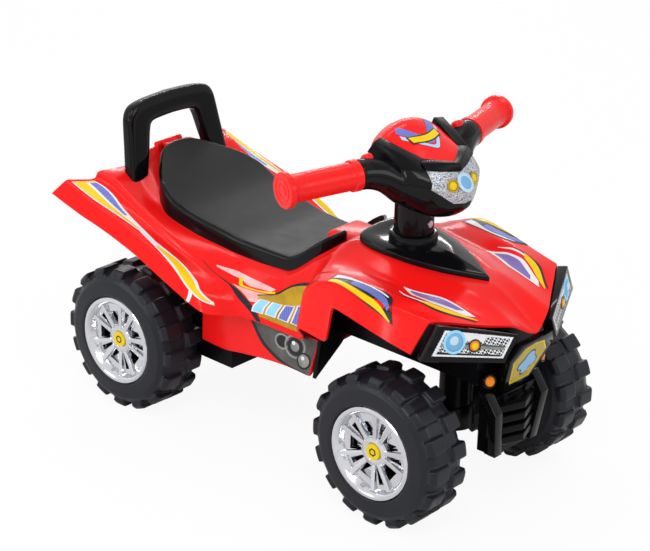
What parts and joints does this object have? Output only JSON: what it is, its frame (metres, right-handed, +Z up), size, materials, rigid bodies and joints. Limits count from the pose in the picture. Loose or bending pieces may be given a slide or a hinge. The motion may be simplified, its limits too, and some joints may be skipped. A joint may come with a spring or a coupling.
{
  "type": "kids ride-on quad bike",
  "caption": "Foot-to-floor ride-on quad for a small child, with fenders, a hinged seat over a storage tray, a push handle, a steerable handlebar and free-rolling wheels.",
  "frame": {"origin": "on the floor, under the middle of the overall length and width", "axes": "+X forward, +Y to the rider's left, +Z up"},
  "size_m": [0.6535, 0.3918, 0.431],
  "materials": {
    "red_plastic": "glossy moulded plastic",
    "black_gloss": "glossy moulded plastic",
    "black_matte": "matte moulded plastic",
    "seat_plastic": "fine matte grain with a polished rim",
    "wheel_plastic": "satin blow moulded plastic",
    "plated_plastic": "bright plated plastic",
    "yellow_plastic": "glossy moulded plastic",
    "amber_plastic": "glossy tinted plastic",
    "clear_plastic": "clear glossy plastic",
    "printed_panel": "glossy printed film",
    "bearing_plastic": "plain bearing plastic",
    "steel": "plain drawn steel",
    "circuit_board": "coated laminate",
    "cell_can": "printed metal can"
  },
  "bodies": {
    "chassis": {"upper_body": "red_plastic", "lower_body": "red_plastic", "front_subframe": "black_matte", "dash_cover": "black_gloss", "column_bush": "bearing_plastic", "tank_hump": "red_plastic", "push_handle": "black_gloss", "storage_tray": "black_matte", "headlamp_housing_left": "black_matte", "headlamp_housing_right": "black_matte", "headlamp_panels": "printed_panel", "nose_housing": "black_matte", "nose_badge": "yellow_plastic", "bumper_guard": "black_matte", "grille_slats": "black_matte", "turn_lamps": "amber_plastic", "rear_axle_housing": "black_matte", "rear_axle": "steel", "rear_push_nuts": "steel", "rear_washers": "bearing_plastic", "seat_hinge": "steel", "body_screws": "steel"},
    "front_axle": {"front_axle_beam": "black_matte", "front_stub_axles": "steel", "king_pin": "steel", "axle_lever": "black_matte", "front_push_nuts": "steel", "front_washers": "bearing_plastic"},
    "steering": {"steering_column": "steel", "column_lever": "black_matte", "neck_sleeve": "black_gloss", "neck_screw": "steel", "handlebar_tube": "black_matte", "handlebar_housing": "black_gloss", "cowl_frame": "black_matte", "cowl_top": "red_plastic", "lamp_lens": "clear_plastic", "lamp_reflector": "plated_plastic", "grip_left": "red_plastic", "grip_right": "red_plastic", "battery_box": "black_matte", "battery_cell": "cell_can", "sound_board": "circuit_board", "speaker": "black_matte"},
    "steering_link": {"steering_link": "black_matte"},
    "seat": {"seat_lid": "seat_plastic"},
    "button_left": {"button_left": "red_plastic"},
    "button_right": {"button_right": "red_plastic"},
    "wheel_front_left": {"wheel_front_left": "wheel_plastic", "hubcap_front_left": "plated_plastic", "cap_front_left": "yellow_plastic"},
    "wheel_front_right": {"wheel_front_right": "wheel_plastic", "hubcap_front_right": "plated_plastic", "cap_front_right": "yellow_plastic"},
    "wheel_rear_left": {"wheel_rear_left": "wheel_plastic", "hubcap_rear_left": "plated_plastic", "cap_rear_left": "yellow_plastic"},
    "wheel_rear_right": {"wheel_rear_right": "wheel_plastic", "hubcap_rear_right": "plated_plastic", "cap_rear_right": "yellow_plastic"}
  },
  "joints": [
    {"name": "steer", "type": "hinge", "parent": "chassis", "child": "steering", "pos_m": [0.1414, 0, 0.3], "axis": [0, 0, 1], "range_deg": [-15, 15]},
    {"name": "front_axle_turn", "type": "hinge", "parent": "chassis", "child": "front_axle", "pos_m": [0.2155, 0, 0.13], "axis": [0, 0, 1], "range_deg": [-15, 15]},
    {"name": "link_turn", "type": "hinge", "parent": "steering", "child": "steering_link", "pos_m": [0.1414, -0.034, 0.19], "axis": [0, 0, 1], "range_deg": [-15, 15]},
    {"name": "seat_lift", "type": "hinge", "parent": "chassis", "child": "seat", "pos_m": [-0.2663, 0, 0.3013], "axis": [0, -1, 0], "range_deg": [0, 60]},
    {"name": "button_press_left", "type": "slide", "parent": "steering", "child": "button_left", "axis": [0.5, 0, -0.866], "range_m": [0, 0.0025], "stiffness_N_per_m": 300},
    {"name": "button_press_right", "type": "slide", "parent": "steering", "child": "button_right", "axis": [0.5, 0, -0.866], "range_m": [0, 0.0025], "stiffness_N_per_m": 300},
    {"name": "roll_front_left", "type": "hinge", "parent": "front_axle", "child": "wheel_front_left", "pos_m": [0.2155, 0, 0.0924], "axis": [0, 1, 0], "continuous": true},
    {"name": "roll_front_right", "type": "hinge", "parent": "front_axle", "child": "wheel_front_right", "pos_m": [0.2155, 0, 0.0924], "axis": [0, 1, 0], "continuous": true},
    {"name": "roll_rear_left", "type": "hinge", "parent": "chassis", "child": "wheel_rear_left", "pos_m": [-0.2031, 0, 0.0924], "axis": [0, 1, 0], "continuous": true},
    {"name": "roll_rear_right", "type": "hinge", "parent": "chassis", "child": "wheel_rear_right", "pos_m": [-0.2031, 0, 0.0924], "axis": [0, 1, 0], "continuous": true}
  ],
  "couplings": [
    {"joint": "front_axle_turn", "follows": "steer", "ratio": 1},
    {"joint": "link_turn", "follows": "steer", "ratio": -1}
  ]
}
